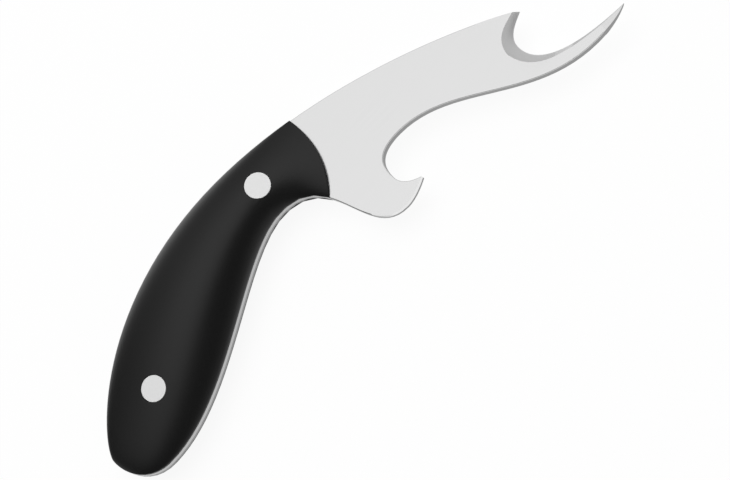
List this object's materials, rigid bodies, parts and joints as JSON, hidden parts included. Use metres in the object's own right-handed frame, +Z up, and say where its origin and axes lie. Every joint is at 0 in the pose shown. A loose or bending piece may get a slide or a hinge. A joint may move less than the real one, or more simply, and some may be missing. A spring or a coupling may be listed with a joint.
{
  "type": "shellfish knife",
  "caption": "Shellfish knife: a full-tang steel plate with a hooked, ground crescent end and a shell-cracking prong, between crowned black scales held by flat-headed rivets.",
  "frame": {"origin": "middle of the bounding box's bottom, on the surface that the knife lies on", "axes": "+X from the butt to the point, +Y from the underside to the spine, +Z up through the thickness of the plate, with the knife lying on its side"},
  "size_m": [0.1992, 0.0522, 0.0171],
  "materials": {
    "blade_steel": "satin polished stainless steel",
    "handle_black": "satin black moulded composite",
    "rivet_steel": "flat ground bright steel"
  },
  "bodies": {
    "root": {"blade_and_tang": "blade_steel", "upper_scale": "handle_black", "lower_scale": "handle_black", "front_rivet_shank": "rivet_steel", "front_rivet_barrel": "rivet_steel", "rear_rivet_shank": "rivet_steel", "rear_rivet_barrel": "rivet_steel"}
  },
  "joints": []
}
